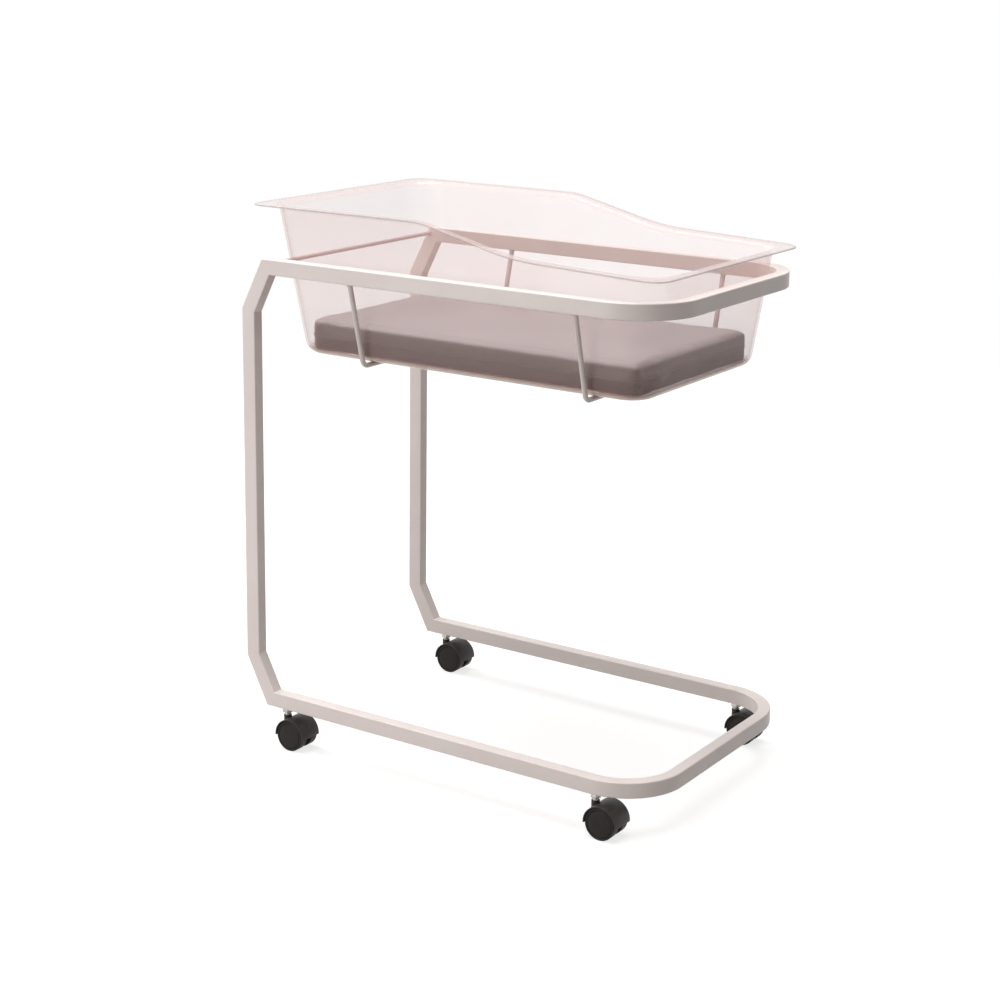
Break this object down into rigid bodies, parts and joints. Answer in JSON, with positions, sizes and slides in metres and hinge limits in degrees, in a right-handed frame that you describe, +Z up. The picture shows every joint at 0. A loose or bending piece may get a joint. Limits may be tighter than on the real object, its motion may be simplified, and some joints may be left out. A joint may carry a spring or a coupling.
{
  "type": "hospital bassinet",
  "caption": "Hospital bassinet: clear tub with a stepped rim and a mattress, carried in a C-shaped tube frame on hooded swivel casters.",
  "frame": {"origin": "on the floor under the middle of the frame", "axes": "+X from the uprights at the head end to the open foot end, +Y to the far side, +Z up"},
  "size_m": [0.76, 0.493, 0.887],
  "materials": {
    "powder_coat": "satin",
    "zinc": "satin",
    "caster_plastic": "matte",
    "caster_tread": "matte",
    "clear_tub": "gloss",
    "mattress_cover": "satin"
  },
  "bodies": {
    "frame": {"base_rail_loop": "powder_coat", "upper_rail_loop": "powder_coat", "base_corner_near": "powder_coat", "base_corner_far": "powder_coat", "post_near": "powder_coat", "post_far": "powder_coat", "top_corner_near": "powder_coat", "top_corner_far": "powder_coat", "head_cross_rod": "powder_coat", "cradle_hanger_head": "powder_coat", "cradle_hanger_foot": "powder_coat", "stem_inserts": "zinc", "caster_head_near_stem": "zinc", "caster_head_near_lock_nut": "zinc", "caster_head_far_stem": "zinc", "caster_head_far_lock_nut": "zinc", "caster_foot_near_stem": "zinc", "caster_foot_near_lock_nut": "zinc", "caster_foot_far_stem": "zinc", "caster_foot_far_lock_nut": "zinc"},
    "fork_head_near": {"caster_head_near_hood": "caster_plastic", "caster_head_near_axle": "zinc"},
    "wheel_near_head_near": {"caster_head_near_wheel_near": "caster_tread"},
    "wheel_far_head_near": {"caster_head_near_wheel_far": "caster_tread"},
    "fork_head_far": {"caster_head_far_hood": "caster_plastic", "caster_head_far_axle": "zinc"},
    "wheel_near_head_far": {"caster_head_far_wheel_near": "caster_tread"},
    "wheel_far_head_far": {"caster_head_far_wheel_far": "caster_tread"},
    "fork_foot_near": {"caster_foot_near_hood": "caster_plastic", "caster_foot_near_axle": "zinc"},
    "wheel_near_foot_near": {"caster_foot_near_wheel_near": "caster_tread"},
    "wheel_far_foot_near": {"caster_foot_near_wheel_far": "caster_tread"},
    "fork_foot_far": {"caster_foot_far_hood": "caster_plastic", "caster_foot_far_axle": "zinc"},
    "wheel_near_foot_far": {"caster_foot_far_wheel_near": "caster_tread"},
    "wheel_far_foot_far": {"caster_foot_far_wheel_far": "caster_tread"},
    "tub": {"tub": "clear_tub"},
    "mattress": {"mattress": "mattress_cover"}
  },
  "joints": [
    {"name": "swivel_head_near", "type": "hinge", "parent": "frame", "child": "fork_head_near", "pos_m": [-0.303, -0.225, 0.05], "axis": [0, 0, 1], "continuous": true},
    {"name": "spin_near_head_near", "type": "hinge", "parent": "fork_head_near", "child": "wheel_near_head_near", "pos_m": [-0.284, -0.225, 0.025], "axis": [0, 1, 0], "continuous": true},
    {"name": "spin_far_head_near", "type": "hinge", "parent": "fork_head_near", "child": "wheel_far_head_near", "pos_m": [-0.284, -0.225, 0.025], "axis": [0, 1, 0], "continuous": true},
    {"name": "swivel_head_far", "type": "hinge", "parent": "frame", "child": "fork_head_far", "pos_m": [-0.303, 0.225, 0.05], "axis": [0, 0, 1], "continuous": true},
    {"name": "spin_near_head_far", "type": "hinge", "parent": "fork_head_far", "child": "wheel_near_head_far", "pos_m": [-0.284, 0.225, 0.025], "axis": [0, 1, 0], "continuous": true},
    {"name": "spin_far_head_far", "type": "hinge", "parent": "fork_head_far", "child": "wheel_far_head_far", "pos_m": [-0.284, 0.225, 0.025], "axis": [0, 1, 0], "continuous": true},
    {"name": "swivel_foot_near", "type": "hinge", "parent": "frame", "child": "fork_foot_near", "pos_m": [0.285, -0.225, 0.05], "axis": [0, 0, 1], "continuous": true},
    {"name": "spin_near_foot_near", "type": "hinge", "parent": "fork_foot_near", "child": "wheel_near_foot_near", "pos_m": [0.304, -0.225, 0.025], "axis": [0, 1, 0], "continuous": true},
    {"name": "spin_far_foot_near", "type": "hinge", "parent": "fork_foot_near", "child": "wheel_far_foot_near", "pos_m": [0.304, -0.225, 0.025], "axis": [0, 1, 0], "continuous": true},
    {"name": "swivel_foot_far", "type": "hinge", "parent": "frame", "child": "fork_foot_far", "pos_m": [0.285, 0.225, 0.05], "axis": [0, 0, 1], "continuous": true},
    {"name": "spin_near_foot_far", "type": "hinge", "parent": "fork_foot_far", "child": "wheel_near_foot_far", "pos_m": [0.304, 0.225, 0.025], "axis": [0, 1, 0], "continuous": true},
    {"name": "spin_far_foot_far", "type": "hinge", "parent": "fork_foot_far", "child": "wheel_far_foot_far", "pos_m": [0.304, 0.225, 0.025], "axis": [0, 1, 0], "continuous": true},
    {"name": "tub_lift_out", "type": "slide", "parent": "frame", "child": "tub", "axis": [0, 0, 1], "range_m": [0, 0.2]},
    {"name": "mattress_lift_out", "type": "slide", "parent": "tub", "child": "mattress", "axis": [0, 0, 1], "range_m": [0, 0.25]}
  ]
}
